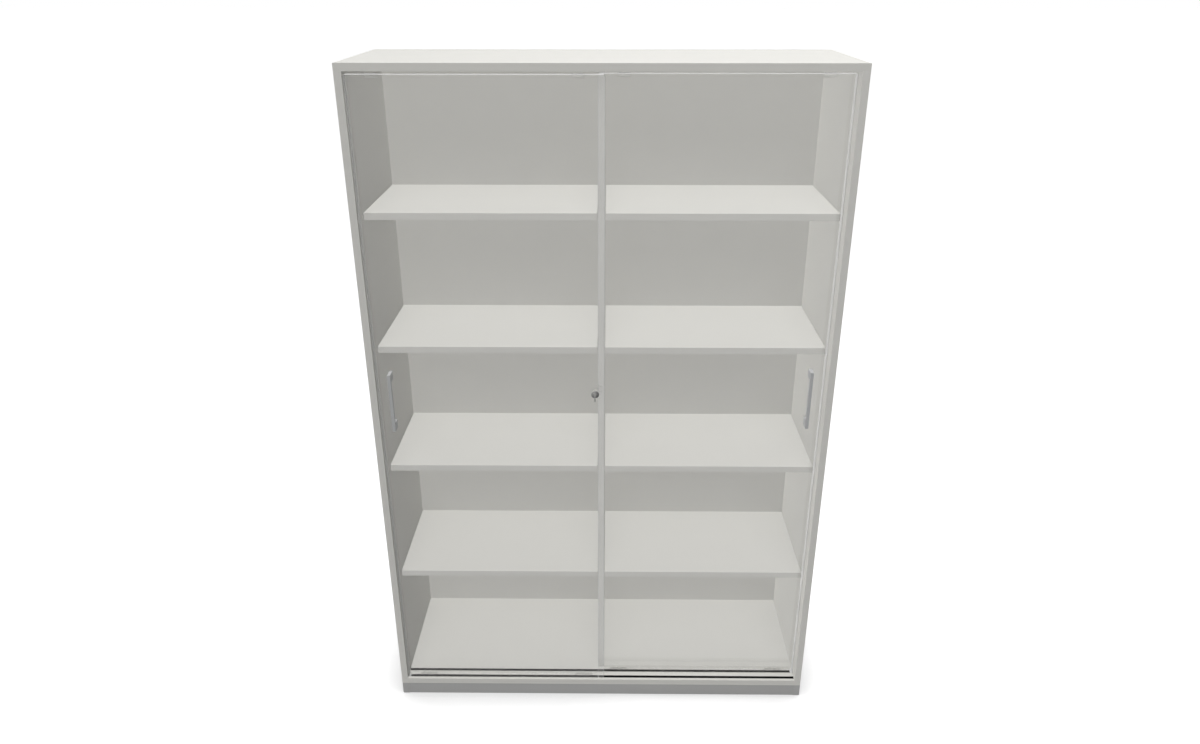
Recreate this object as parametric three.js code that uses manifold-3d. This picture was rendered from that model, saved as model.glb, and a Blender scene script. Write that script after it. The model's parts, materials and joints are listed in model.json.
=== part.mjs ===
// Sliding door cabinet: a five level cupboard with two see-through doors that pass each other in
// double tracks, bow handles and a push lock. Millimetres, +Z up. The origin is on the floor under
// the middle of the cabinet, the front faces -Y and the left door runs in front of the right one.
import * as THREE from "three";
import { mergeVertices } from "three/addons/utils/BufferGeometryUtils.js";
import Module from "manifold-3d";

const wasm = await Module();
wasm.setup();

// Overall sizes
const cabinetWidth = 1200;
const cabinetDepth = 400;
const cabinetHeight = 1818;
const boardThickness = 18;
const levelCount = 5;

// Clearances: between touching pieces of different parts, and the overrun of a cutting tool
const seatGap = 0.3;
const overrun = 5;

// Plinth
const plinthHeight = 38;
const plinthBoard = 19;
const plinthSetback = 1;

// Back panel, held in grooves all round
const backThickness = 8;
const backRecess = 10;
const backGrooveDepth = 8;

// Doors
const doorThickness = 18;
const frontDoorInset = 4.5;
const doorGap = 8;
const doorToShelf = 7.5;
const doorSideGap = 2;
const doorOverlap = 16;
const doorTopGap = 7;
const doorBottomGap = 1;
const doorCornerRadius = 4;
const doorArris = 0.8;
const doorToHandle = 13;

// Door tracks: a plastic channel in each groove
const trackWidth = 10;
const bottomTrackDepth = 6;
const topTrackDepth = 12;
const channelWall = 1;

// Bottom glides and top guides, let into the door edges
const glideLength = 50;
const guideLength = 30;
const glideBodyWidth = 10;
const glideBodyHeight = 8;
const glideSideClearance = 0.5;
const glideInset = 60;
const guideReach = 4.5;
const stopLength = 16;
const stopGap = 0.5;
const stopHeight = 6;

// Shelves and their pins
const shelfSideGap = 1;
const shelfBackGap = 2;
const pinRadius = 2.5;
const pinRoot = 1;
const pinReach = 9;
const pinInset = 37;

// Dowels
const dowelRadius = 4;
const dowelReach = 11;
const dowelRoot = 1;
const dowelPlaceShares = [-0.36, 0, 0.36];
const dividerDowelShares = [0.2, 0.8];

// Bow handles
const handleLength = 160;
const handleBar = 8;
const handleReach = 28;
const handleScrewInset = 16;
const handleFootWall = 4;
const handleCorner = 0.6;
const handleInset = 40;
const handleHeight = 986;

// Machine screws of the handles
const screwRadius = 2;
const screwClearance = 0.4;
const screwInFoot = 11;
const screwHeadRadius = 4.2;
const screwHeadHeight = 2.5;
const screwSlotWidth = 1.2;
const screwSlotDepth = 1.2;

// Push lock: sleeve, barrel, plug, spring and bolt on one axis
const lockHeight = 1002;
const lockFlangeRadius = 10.3;
const lockFlangeThickness = 2;
const lockFlangeRound = 3;
const sleeveRadius = 8.5;
const sleeveBoreRadius = 7.5;
const sleeveLip = 3;
const sleeveEndWall = 2;
const lockRunning = 0.3;
const barrelNeckRadius = 6.4;
const barrelProud = 0.5;
const barrelEndWall = 2.7;
const barrelRound = 1.3;
const boltArris = 0.6;
const plugRadius = 4.5;
const plugEndWall = 2;
const boltRadius = 4;
const boltEndClearance = 1.5;
const boltSideClearance = 2;
const springPressedLength = 2;
const springWireRadius = 0.35;
const springMeanRadius = 5.6;
const springTurns = 2.5;

// Key
const keyThickness = 2;
const keyBladeHeight = 6;
const keyShoulder = 3;
const keyBowRadius = 10;
const keyHoleRadius = 2.4;
const keyHolePlace = 5.4;
const keyTip = 1.6;
const keyNotchDepth = 1.4;
const keyNotchShares = [0.3, 0.62];
const keyNotchShare = 0.09;

// Strike plate on the edge of the right door
const strikeThickness = 1.5;
const strikeHeight = 26;
const strikeClearance = 1.5;
const strikeCover = 16;
const strikeScrewOffset = 8;
const strikeScrewRadius = 1.5;
const strikeScrewLength = 13;
const strikeHeadRadius = 2.8;

// Angles and screws between plinth and bottom panel
const angleLeg = 26;
const angleThickness = 2;
const angleWidth = 30;
const anglePlaceShare = 0.5;
const woodScrewRadius = 2;
const woodScrewLength = 11;
const woodScrewHeadRadius = 3.8;
const woodScrewHeadHeight = 2;

// Numbers of facets
const roundSides = 24;
const smallRoundSides = 12;
const cornerSteps = 5;
const wireSteps = 3;

// Heights worked out from the sizes above
const bottomTop = plinthHeight + boardThickness;
const topUnder = cabinetHeight - boardThickness;
const clearHeight = topUnder - bottomTop;
const levelPitch = (clearHeight + boardThickness) / levelCount;
const doorLow = bottomTop + doorBottomGap;
const doorHigh = topUnder - doorTopGap;

// Places across the cabinet, from its middle
const halfWidth = cabinetWidth / 2;
const innerHalf = halfWidth - boardThickness;
const dividerHalf = boardThickness / 2;

// Places from front to back
const frontY = -cabinetDepth / 2;
const backY = cabinetDepth / 2;
const frontDoorY = frontY + frontDoorInset;
const frontDoorBack = frontDoorY + doorThickness;
const rearDoorY = frontDoorBack + doorGap;
const rearDoorBack = rearDoorY + doorThickness;
const shelfFront = rearDoorBack + doorToShelf;
const backPanelBack = backY - backRecess;
const backPanelFront = backPanelBack - backThickness;
const trackPlaces = [frontDoorY + doorThickness / 2, rearDoorY + doorThickness / 2];

// Materials
function finish(color, roughness, metalness, opacity = 1) {
  const clear = opacity < 1;
  return new THREE.MeshStandardMaterial({ color, roughness, metalness, opacity, transparent: clear });
}
const melamine = () => finish(0xe9e9e4, 0.55, 0);
const plinthLaminate = () => finish(0x9a9a98, 0.6, 0);
const clearAcrylic = () => finish(0xf2f4f2, 0.08, 0, 0.25);
const blackPlastic = () => finish(0x1a1a1a, 0.5, 0);
const clearPlastic = () => finish(0xf0f2f0, 0.15, 0, 0.3);
const silverLacquer = () => finish(0xbebec0, 0.4, 0.1);
const nickelPlate = () => finish(0x9c9c9c, 0.22, 0.95);
const zincPlate = () => finish(0xb9b7b0, 0.4, 0.85);

// Shapes: boxes between two corners, round bars along an axis, turned and pressed forms
function block(low, high) {
  const size = high.map((v, i) => v - low[i]);
  const middle = high.map((v, i) => (v + low[i]) / 2);
  return new THREE.BoxGeometry(...size).translate(...middle);
}

function aimed(geometry, axis) {
  if (axis === "x") geometry.rotateZ(-Math.PI / 2);
  if (axis === "z") geometry.rotateX(Math.PI / 2);
  return geometry;
}

// A round bar that starts at a point and runs a length along +X, +Y or +Z
function rod(radius, length, start, axis, sides = smallRoundSides) {
  const bar = new THREE.CylinderGeometry(radius, radius, length, sides);
  return aimed(bar.translate(0, length / 2, 0), axis).translate(...start);
}

// A form turned about the Y axis: the profile gives radius and place along Y
function turned(profile, sides = roundSides) {
  const points = profile.map(([radius, along]) => new THREE.Vector2(radius, along));
  return new THREE.LatheGeometry(points, sides);
}

// An outline in the XY plane pulled up along Z
function pulled(outline, height, options = {}) {
  const settings = { depth: height, bevelEnabled: false, curveSegments: cornerSteps, ...options };
  return new THREE.ExtrudeGeometry(outline, settings);
}

// A bar outline with round ends, longer in X
function stadium(length, width) {
  const radius = width / 2;
  const straight = length / 2 - radius;
  const outline = new THREE.Shape();
  outline.absarc(straight, 0, radius, -Math.PI / 2, Math.PI / 2);
  outline.absarc(-straight, 0, radius, Math.PI / 2, (3 * Math.PI) / 2);
  return outline;
}

// A rectangle outline with rounded corners about the origin
function roundedRectangle(width, height, radius) {
  const x = width / 2 - radius;
  const y = height / 2 - radius;
  const outline = new THREE.Shape();
  outline.absarc(x, -y, radius, -Math.PI / 2, 0);
  outline.absarc(x, y, radius, 0, Math.PI / 2);
  outline.absarc(-x, y, radius, Math.PI / 2, Math.PI);
  outline.absarc(-x, -y, radius, Math.PI, (3 * Math.PI) / 2);
  return outline;
}

// Cutting and joining of closed meshes
function toSolid(geometry) {
  const bare = geometry.clone();
  bare.deleteAttribute("normal");
  bare.deleteAttribute("uv");
  const welded = mergeVertices(bare);
  const vertProperties = new Float32Array(welded.attributes.position.array);
  const triVerts = new Uint32Array(welded.index.array);
  return new wasm.Manifold(new wasm.Mesh({ numProp: 3, vertProperties, triVerts }));
}

function toGeometry(solid) {
  const { vertProperties, triVerts } = solid.getMesh();
  const geometry = new THREE.BufferGeometry();
  geometry.setAttribute("position", new THREE.BufferAttribute(vertProperties, 3));
  geometry.setIndex(new THREE.BufferAttribute(triVerts, 1));
  geometry.computeVertexNormals();
  return geometry;
}

function cut(base, tools) {
  const start = toSolid(base);
  return toGeometry(tools.reduce((rest, tool) => rest.subtract(toSolid(tool)), start));
}

function join(pieces) {
  const [first, ...others] = pieces.map(toSolid);
  return toGeometry(others.reduce((whole, piece) => whole.add(piece), first));
}

const cabinet = new THREE.Group();

function add(name, geometry, material, group = cabinet) {
  const mesh = new THREE.Mesh(geometry, material);
  mesh.name = name;
  group.add(mesh);
  return mesh;
}

// Plinth: side rails from front to back, cross rails between them
const railInner = halfWidth - plinthBoard;

function addPlinth() {
  const rails = {
    plinth_side_left: [[-halfWidth, frontY, 0], [-railInner, backY, plinthHeight]],
    plinth_side_right: [[railInner, frontY, 0], [halfWidth, backY, plinthHeight]],
    plinth_front: [
      [-railInner, frontY + plinthSetback, 0],
      [railInner, frontY + plinthSetback + plinthBoard, plinthHeight],
    ],
    plinth_back: [
      [-railInner, backY - plinthSetback - plinthBoard, 0],
      [railInner, backY - plinthSetback, plinthHeight],
    ],
    plinth_centre: [
      [-plinthBoard / 2, frontY + plinthSetback + plinthBoard, 0],
      [plinthBoard / 2, backY - plinthSetback - plinthBoard, plinthHeight],
    ],
  };
  for (const [name, [low, high]] of Object.entries(rails)) {
    const holes = anglePlaces.filter((place) => place.rail === name).map(railScrewHole);
    const rail = block(low, high);
    add(name, holes.length ? cut(rail, holes) : rail, plinthLaminate());
  }
}

// Steel angles under the bottom panel, each against a rail and turned about Z to face it
const frontRailInner = frontY + plinthSetback + plinthBoard;
const backRailInner = backY - plinthSetback - plinthBoard;
const angleAcross = railInner * anglePlaceShare;
const anglePlaces = [
  { name: "front_left", rail: "plinth_front", at: [-angleAcross, frontRailInner], turn: 0 },
  { name: "front_right", rail: "plinth_front", at: [angleAcross, frontRailInner], turn: 0 },
  { name: "back_left", rail: "plinth_back", at: [-angleAcross, backRailInner], turn: Math.PI },
  { name: "back_right", rail: "plinth_back", at: [angleAcross, backRailInner], turn: Math.PI },
  { name: "side_left", rail: "plinth_side_left", at: [-railInner, 0], turn: -Math.PI / 2 },
  { name: "side_right", rail: "plinth_side_right", at: [railInner, 0], turn: Math.PI / 2 },
];
const angleHoleMiddle = (angleLeg + angleThickness) / 2;

// One angle with its two screws, one up into the bottom panel and one out into the rail
function screwedAngle() {
  const outline = new THREE.Shape();
  outline.moveTo(0, 0);
  outline.lineTo(angleLeg, 0);
  outline.lineTo(angleLeg, -angleThickness);
  outline.lineTo(angleThickness, -angleThickness);
  outline.lineTo(angleThickness, -angleLeg);
  outline.lineTo(0, -angleLeg);
  outline.closePath();
  const bent = pulled(outline, angleWidth).translate(0, 0, -angleWidth / 2);
  bent.rotateX(Math.PI / 2).rotateZ(Math.PI / 2);
  const up = woodScrew().rotateX(Math.PI / 2).translate(0, angleHoleMiddle, -angleThickness);
  const out = woodScrew().rotateX(Math.PI).translate(0, angleThickness, -angleHoleMiddle);
  return join([bent, up, out]);
}

// A screw along +Y with the underside of its head at zero
function woodScrew() {
  const head = rod(woodScrewHeadRadius, woodScrewHeadHeight, [0, -woodScrewHeadHeight, 0], "y");
  const shaft = rod(woodScrewRadius, woodScrewLength + woodScrewHeadHeight / 2, [0, 0, 0], "y");
  return join([head, shaft.translate(0, -woodScrewHeadHeight / 2, 0)]);
}

function atAngle(geometry, { at, turn }) {
  return geometry.rotateZ(turn).translate(at[0], at[1], plinthHeight);
}

// The holes that an angle's screws make in the bottom panel and in the rail
const angleScrewDepth = woodScrewLength - angleThickness + seatGap;
const angleScrewHole = woodScrewRadius + seatGap;

function panelScrewHole(place) {
  const start = [0, angleHoleMiddle, -overrun];
  return atAngle(rod(angleScrewHole, angleScrewDepth + overrun, start, "z"), place);
}

function railScrewHole(place) {
  const start = [0, -angleScrewDepth, -angleHoleMiddle];
  return atAngle(rod(angleScrewHole, angleScrewDepth + overrun, start, "y"), place);
}

function addPlinthAngles() {
  for (const place of anglePlaces) {
    add(`plinth_angle_${place.name}`, atAngle(screwedAngle(), place), zincPlate());
  }
}

// Dowel places in the side panels and the divider
function sideDowelPlaces(side) {
  const x = side * (halfWidth - boardThickness / 2);
  return dowelPlaceShares.map((share) => [x, share * cabinetDepth]);
}

function dividerDowelPlaces() {
  const depth = backPanelFront - shelfFront;
  return dividerDowelShares.map((share) => [0, shelfFront + share * depth]);
}

// The ends of the glued dowels that stand out of an upright board, or with a gap added, their holes
function dowelEnds(places, gap = 0) {
  const radius = dowelRadius + gap;
  const reach = dowelReach + gap;
  const root = gap ? overrun : dowelRoot;
  return places.flatMap(([x, y]) => [
    rod(radius, root + reach, [x, y, topUnder - root], "z"),
    rod(radius, root + reach, [x, y, bottomTop - reach], "z"),
  ]);
}

const allDowelHoles = () => {
  const places = [...sideDowelPlaces(-1), ...sideDowelPlaces(1), ...dividerDowelPlaces()];
  return dowelEnds(places, seatGap);
};

// Grooves of the door tracks and of the back panel
function trackGroove(y, low, high) {
  const half = trackWidth / 2;
  return block([-innerHalf, y - half, low], [innerHalf, y + half, high]);
}

const backSlot = [
  [-innerHalf - backGrooveDepth, backPanelFront - seatGap, bottomTop - backGrooveDepth],
  [innerHalf + backGrooveDepth, backPanelBack + seatGap, topUnder + backGrooveDepth],
];

// Panels of the carcass. The dowels and shelf pins are one with the upright boards that hold them.
function addPanels() {
  const bottomCuts = [
    ...trackPlaces.map((y) => trackGroove(y, bottomTop - bottomTrackDepth, bottomTop + overrun)),
    block(...backSlot),
    ...allDowelHoles(),
    ...anglePlaces.map(panelScrewHole),
  ];
  const bottom = block([-halfWidth, frontY, plinthHeight], [halfWidth, backY, bottomTop]);
  add("bottom_panel", cut(bottom, bottomCuts), melamine());

  const topCuts = [
    ...trackPlaces.map((y) => trackGroove(y, topUnder - overrun, topUnder + topTrackDepth)),
    block(...backSlot),
    ...allDowelHoles(),
  ];
  const top = block([-halfWidth, frontY, topUnder], [halfWidth, backY, cabinetHeight]);
  add("top_panel", cut(top, topCuts), melamine());

  for (const [name, side] of [["side_panel_left", -1], ["side_panel_right", 1]]) {
    const edges = [side * innerHalf, side * halfWidth].sort((a, b) => a - b);
    const board = block([edges[0], frontY, bottomTop], [edges[1], backY, topUnder]);
    const pins = shelfPins({ wall: side * innerHalf, way: -side });
    const slotted = cut(board, [block(...backSlot)]);
    add(name, join([slotted, ...dowelEnds(sideDowelPlaces(side)), ...pins]), melamine());
  }

  const back = block(
    [backSlot[0][0] + seatGap, backPanelFront, backSlot[0][2] + seatGap],
    [backSlot[1][0] - seatGap, backPanelBack, backSlot[1][2] - seatGap],
  );
  add("back_panel", back, melamine());

  const board = block(
    [-dividerHalf, shelfFront, bottomTop],
    [dividerHalf, backPanelFront - seatGap, topUnder],
  );
  const pins = [
    ...shelfPins({ wall: -dividerHalf, way: -1 }),
    ...shelfPins({ wall: dividerHalf, way: 1 }),
  ];
  add("divider", join([board, ...dowelEnds(dividerDowelPlaces()), ...pins]), melamine());
}

// Shelves: one less than the levels on each side of the divider
const shelfTops = Array.from({ length: levelCount - 1 }, (_, i) => bottomTop + (i + 1) * levelPitch);
const shelfBack = backPanelFront - shelfBackGap;

function addShelves() {
  for (const [side, name] of [[-1, "left"], [1, "right"]]) {
    const ends = [dividerHalf + shelfSideGap, innerHalf - shelfSideGap];
    const [low, high] = ends.map((x) => side * x).sort((a, b) => a - b);
    shelfTops.forEach((top, i) => {
      const board = block([low, shelfFront, top - boardThickness], [high, shelfBack, top]);
      add(`shelf_${name}_${i + 1}`, board, melamine());
    });
  }
}

// Shelf pins of one wall: two under each shelf end, standing out of the wall one way along X
function shelfPins({ wall, way }) {
  const start = way > 0 ? wall - pinRoot : wall - pinReach;
  const depths = [shelfFront + pinInset, shelfBack - pinInset];
  return depths.flatMap((y) =>
    shelfTops.map((top) => {
      const z = top - boardThickness - pinRadius - seatGap;
      return rod(pinRadius, pinRoot + pinReach, [start, y, z], "x");
    }),
  );
}

// Plastic channels in the door grooves, open towards the door
function channel(depth) {
  const half = trackWidth / 2 - seatGap;
  const outline = new THREE.Shape();
  outline.moveTo(-half, 0);
  outline.lineTo(half, 0);
  outline.lineTo(half, depth);
  outline.lineTo(half - channelWall, depth);
  outline.lineTo(half - channelWall, channelWall);
  outline.lineTo(-half + channelWall, channelWall);
  outline.lineTo(-half + channelWall, depth);
  outline.lineTo(-half, depth);
  outline.closePath();
  const length = 2 * (innerHalf - seatGap);
  const bar = pulled(outline, length).translate(0, 0, -length / 2);
  return bar.rotateX(Math.PI / 2).rotateZ(Math.PI / 2);
}

const channelInner = trackWidth - 2 * seatGap - 2 * channelWall;
const bottomChannelDepth = bottomTrackDepth - seatGap;
const topChannelDepth = topTrackDepth - seatGap;
const bottomRunZ = bottomTop - bottomTrackDepth + channelWall;

function addChannels() {
  for (const [i, name] of ["front", "rear"].entries()) {
    const low = channel(bottomChannelDepth).translate(0, trackPlaces[i], bottomTop - bottomTrackDepth);
    add(`bottom_channel_${name}`, low, blackPlastic());
    const high = channel(topChannelDepth).rotateX(Math.PI);
    high.translate(0, trackPlaces[i], topUnder + topTrackDepth);
    add(`top_channel_${name}`, high, blackPlastic());
  }
}

// Doors: the left one runs in front. Each entry holds its ends and its place from front to back.
const doorLength = innerHalf - doorSideGap + doorOverlap / 2;
const doors = {
  left: { low: -innerHalf + doorSideGap, high: doorOverlap / 2, y: frontDoorY, side: -1, track: 0 },
  right: { low: -doorOverlap / 2, high: innerHalf - doorSideGap, y: rearDoorY, side: 1, track: 1 },
};
const lockX = doors.right.low - strikeThickness - boltSideClearance - boltRadius;
const handleX = { left: doors.left.low + handleInset, right: doors.right.high - handleInset };
const doorTravel = handleX.right - handleBar / 2 - doors.left.high - doorToHandle;
const tongueWidth = channelInner - 2 * glideSideClearance;

function runnerPlaces(door) {
  return [door.low + glideInset, door.high - glideInset];
}

// A bottom glide or a top guide: a body let into the door edge and a tongue that stands out of it
function runner(length, reach) {
  const body = pulled(stadium(length, glideBodyWidth), glideBodyHeight);
  const tongueLength = length - glideBodyWidth + tongueWidth;
  const tongue = pulled(stadium(tongueLength, tongueWidth), reach + seatGap);
  return join([body, tongue.translate(0, 0, -reach)]);
}

function runnerMortise(length) {
  const outline = stadium(length + 2 * seatGap, glideBodyWidth + 2 * seatGap);
  return pulled(outline, glideBodyHeight + seatGap + overrun).translate(0, 0, -overrun);
}

const glideReach = doorLow - bottomRunZ - seatGap;
const topReach = doorTopGap + guideReach;

function onBottomEdge(geometry, door, x) {
  return geometry.translate(x, door.y + doorThickness / 2, doorLow);
}

function onTopEdge(geometry, door, x) {
  return geometry.rotateX(Math.PI).translate(x, door.y + doorThickness / 2, doorHigh);
}

function doorSlab(door) {
  const height = doorHigh - doorLow;
  const width = doorLength - 2 * doorArris;
  const outline = roundedRectangle(width, height - 2 * doorArris, doorCornerRadius - doorArris);
  const arris = { bevelSize: doorArris, bevelThickness: doorArris, bevelSegments: 1 };
  const slab = pulled(outline, doorThickness - 2 * doorArris, { bevelEnabled: true, ...arris });
  slab.translate(0, 0, doorArris).rotateX(Math.PI / 2);
  return slab.translate((door.low + door.high) / 2, door.y + doorThickness, doorLow + height / 2);
}

function addDoor(name, extraCuts) {
  const door = doors[name];
  const cuts = [
    ...runnerPlaces(door).map((x) => onBottomEdge(runnerMortise(glideLength), door, x)),
    ...runnerPlaces(door).map((x) => onTopEdge(runnerMortise(guideLength), door, x)),
    ...handleScrewPlaces(door).map(([x, z]) =>
      rod(screwRadius + screwClearance, doorThickness + 2 * overrun, [x, door.y - overrun, z], "y"),
    ),
    ...extraCuts,
  ];
  add(`door_${name}`, cut(doorSlab(door), cuts), clearAcrylic());
  runnerPlaces(door).forEach((x, i) => {
    const glide = onBottomEdge(runner(glideLength, glideReach), door, x);
    add(`door_${name}_glide_${i + 1}`, glide, clearPlastic());
    const guide = onTopEdge(runner(guideLength, topReach), door, x);
    add(`door_${name}_guide_${i + 1}`, guide, clearPlastic());
  });
}

// A stop in each top channel, just past the place where the door's inner guide ends its travel
function addStops() {
  for (const [name, way] of [["left", 1], ["right", -1]]) {
    const door = doors[name];
    const places = runnerPlaces(door);
    const inner = way > 0 ? places[1] + guideLength / 2 : places[0] - guideLength / 2;
    const near = inner + way * (doorTravel + stopGap);
    const [low, high] = [near, near + way * stopLength].sort((a, b) => a - b);
    const half = channelInner / 2 - seatGap;
    const roof = topUnder + topTrackDepth - channelWall - seatGap;
    const y = trackPlaces[door.track];
    const stop = block([low, y - half, roof - stopHeight], [high, y + half, roof]);
    add(`door_${name}_stop`, stop, blackPlastic());
  }
}

// Bow handle: a square bar on two feet, drawn from the side and pulled across the bar's width
function handleScrewPlaces(door) {
  const x = door.side < 0 ? handleX.left : handleX.right;
  const half = handleLength / 2 - handleScrewInset;
  return [[x, handleHeight - half], [x, handleHeight + half]];
}

function handle() {
  const half = handleLength / 2;
  const inner = half - handleScrewInset - screwRadius - handleFootWall;
  const grip = handleReach - handleBar;
  const outline = new THREE.Shape();
  outline.moveTo(0, -half);
  outline.lineTo(handleReach - handleCorner, -half);
  outline.absarc(handleReach - handleCorner, -half + handleCorner, handleCorner, -Math.PI / 2, 0);
  outline.absarc(handleReach - handleCorner, half - handleCorner, handleCorner, 0, Math.PI / 2);
  outline.lineTo(0, half);
  outline.lineTo(0, inner);
  outline.lineTo(grip, inner);
  outline.lineTo(grip, -inner);
  outline.lineTo(0, -inner);
  outline.closePath();
  const bar = pulled(outline, handleBar).translate(0, 0, -handleBar / 2);
  return bar.rotateX(Math.PI / 2).rotateZ(-Math.PI / 2);
}

function handleScrew() {
  const length = doorThickness + screwInFoot;
  const shaft = rod(screwRadius, length, [0, -length, 0], "y");
  const head = rod(screwHeadRadius, screwHeadHeight, [0, 0, 0], "y");
  const slot = block(
    [-screwSlotWidth / 2, screwHeadHeight - screwSlotDepth, -screwHeadRadius - overrun],
    [screwSlotWidth / 2, screwHeadHeight + overrun, screwHeadRadius + overrun],
  );
  return cut(join([shaft, head]), [slot]);
}

function addHandle(name) {
  const door = doors[name];
  const x = handleX[name];
  const holes = handleScrewPlaces(door).map(([sx, z]) => {
    const depth = screwInFoot + seatGap;
    return rod(screwRadius + seatGap, depth + overrun, [sx, door.y - depth, z], "y");
  });
  const bow = handle().translate(x, door.y, handleHeight);
  add(`handle_${name}`, cut(bow, holes), silverLacquer());
  const backFace = door.y + doorThickness;
  handleScrewPlaces(door).forEach(([sx, z], i) => {
    add(`handle_${name}_screw_${i + 1}`, handleScrew().translate(sx, backFace, z), clearPlastic());
  });
}

// Push lock: places along Y, from the flange back to the end of the sleeve
const flangeY = frontDoorY - lockFlangeThickness;
const lipBack = flangeY + sleeveLip;
const lockTravel = doorGap - boltEndClearance;
const barrelFront = flangeY - barrelProud - lockTravel;
const collarFront = lipBack + lockRunning;
const endWallFront = frontDoorBack - sleeveEndWall;
const collarBack = endWallFront - springPressedLength - lockTravel;
const boltEnd = frontDoorBack - lockRunning;
const plugBack = collarBack - barrelEndWall - lockRunning;
const keyBladeLength = plugBack - plugEndWall - barrelFront;

function atLock(geometry) {
  return geometry.translate(lockX, 0, lockHeight);
}

// Profile points of a rounded rim: it starts on the front face and curves back to the full radius
function rim(radius, front, inwards, back) {
  return Array.from({ length: cornerSteps + 1 }, (_, i) => {
    const angle = (Math.PI / 2) * (i / cornerSteps);
    return [radius - inwards * (1 - Math.sin(angle)), front + back * (1 - Math.cos(angle))];
  });
}

function lockSleeve() {
  const lipBore = barrelNeckRadius + lockRunning;
  const boltBore = boltRadius + lockRunning;
  return turned([
    [lipBore, flangeY],
    ...rim(lockFlangeRadius, flangeY, lockFlangeRound, lockFlangeThickness),
    [sleeveRadius, frontDoorY],
    [sleeveRadius, frontDoorBack],
    [boltBore, frontDoorBack],
    [boltBore, endWallFront],
    [sleeveBoreRadius, endWallFront],
    [sleeveBoreRadius, lipBack],
    [lipBore, lipBack],
    [lipBore, flangeY],
  ]);
}

function lockBarrel() {
  const plugBore = plugRadius + lockRunning;
  const collarRadius = sleeveBoreRadius - lockRunning;
  return turned([
    [plugBore, barrelFront],
    ...rim(barrelNeckRadius, barrelFront, barrelRound, barrelRound),
    [barrelNeckRadius, collarFront],
    [collarRadius, collarFront],
    [collarRadius, collarBack],
    [0, collarBack],
    [0, plugBack + lockRunning],
    [plugBore, plugBack + lockRunning],
    [plugBore, barrelFront],
  ]);
}

// The plug, with the slot for the key's blade
function lockPlug() {
  const core = rod(plugRadius, plugBack - barrelFront, [0, barrelFront, 0], "y", roundSides);
  const halfWide = keyThickness / 2 + lockRunning;
  const halfHigh = keyBladeHeight / 2 + lockRunning;
  const slotEnd = barrelFront + keyBladeLength + lockRunning;
  const slot = block([-halfWide, barrelFront - overrun, -halfHigh], [halfWide, slotEnd, halfHigh]);
  return cut(core, [slot]);
}

function lockBolt() {
  return turned([
    [0, collarBack],
    [boltRadius, collarBack],
    [boltRadius, boltEnd - boltArris],
    [boltRadius - boltArris, boltEnd],
    [0, boltEnd],
  ]);
}

// The spring between the barrel's collar and the end of the sleeve, a helix along Y
class Helix extends THREE.Curve {
  constructor(radius, turns, start, end) {
    super();
    Object.assign(this, { radius, turns, start, end });
  }
  getPoint(t, target = new THREE.Vector3()) {
    const turn = 2 * Math.PI * this.turns * t;
    const along = this.start + (this.end - this.start) * t;
    return target.set(this.radius * Math.cos(turn), along, this.radius * Math.sin(turn));
  }
}

function lockSpring() {
  const start = collarBack + springWireRadius + seatGap;
  const end = endWallFront - springWireRadius - seatGap;
  const path = new Helix(springMeanRadius, springTurns, start, end);
  const wire = new THREE.Shape();
  wire.absarc(0, 0, springWireRadius, 0, 2 * Math.PI);
  const steps = Math.round(springTurns * smallRoundSides);
  return new THREE.ExtrudeGeometry(wire, { extrudePath: path, steps, curveSegments: wireSteps });
}

// Key: round bow, shoulder and a blade with notches, drawn flat and stood upright
function keyOutline() {
  const half = keyBladeHeight / 2;
  const bowX = -keyShoulder - Math.sqrt(keyBowRadius ** 2 - half ** 2);
  const open = Math.asin(half / keyBowRadius);
  const outline = new THREE.Shape();
  outline.absarc(bowX, 0, keyBowRadius, open, 2 * Math.PI - open);
  keyNotchShares.forEach((share) => {
    const middle = keyBladeLength * share;
    const wide = keyBladeLength * keyNotchShare;
    outline.lineTo(middle - wide, -half);
    outline.lineTo(middle, -half + keyNotchDepth);
    outline.lineTo(middle + wide, -half);
  });
  outline.lineTo(keyBladeLength - keyTip, -half);
  outline.lineTo(keyBladeLength, -half + keyTip);
  outline.lineTo(keyBladeLength, half - keyTip);
  outline.lineTo(keyBladeLength - keyTip, half);
  outline.closePath();
  const hole = new THREE.Path();
  hole.absarc(bowX - keyHolePlace, 0, keyHoleRadius, 0, 2 * Math.PI, true);
  outline.holes.push(hole);
  return outline;
}

function key() {
  const flat = pulled(keyOutline(), keyThickness, { curveSegments: smallRoundSides });
  flat.translate(0, 0, -keyThickness / 2);
  return flat.rotateZ(Math.PI / 2).rotateY(Math.PI / 2).translate(0, barrelFront, 0);
}

function lockBore() {
  const bore = rod(sleeveRadius + seatGap, doorThickness + 2 * overrun, [0, 0, 0], "y", roundSides);
  return atLock(bore.translate(0, frontDoorY - overrun, 0));
}

function addLock() {
  add("lock_sleeve", atLock(lockSleeve()), nickelPlate());
  add("lock_barrel", atLock(lockBarrel()), nickelPlate());
  add("lock_plug", atLock(lockPlug()), nickelPlate());
  add("lock_bolt", atLock(lockBolt()), zincPlate());
  add("lock_spring", atLock(lockSpring()), zincPlate());
  add("lock_key", atLock(key()), nickelPlate());
}

// Strike plate on the right door's inner edge: its lip stands in front of that door
const strikeFrontY = frontDoorBack + strikeClearance;
const strikeScrewY = rearDoorY + (strikeCover + doorArris) / 2;
const strikeX = doors.right.low;
const strikeScrewHeights = [lockHeight - strikeScrewOffset, lockHeight + strikeScrewOffset];

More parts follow.
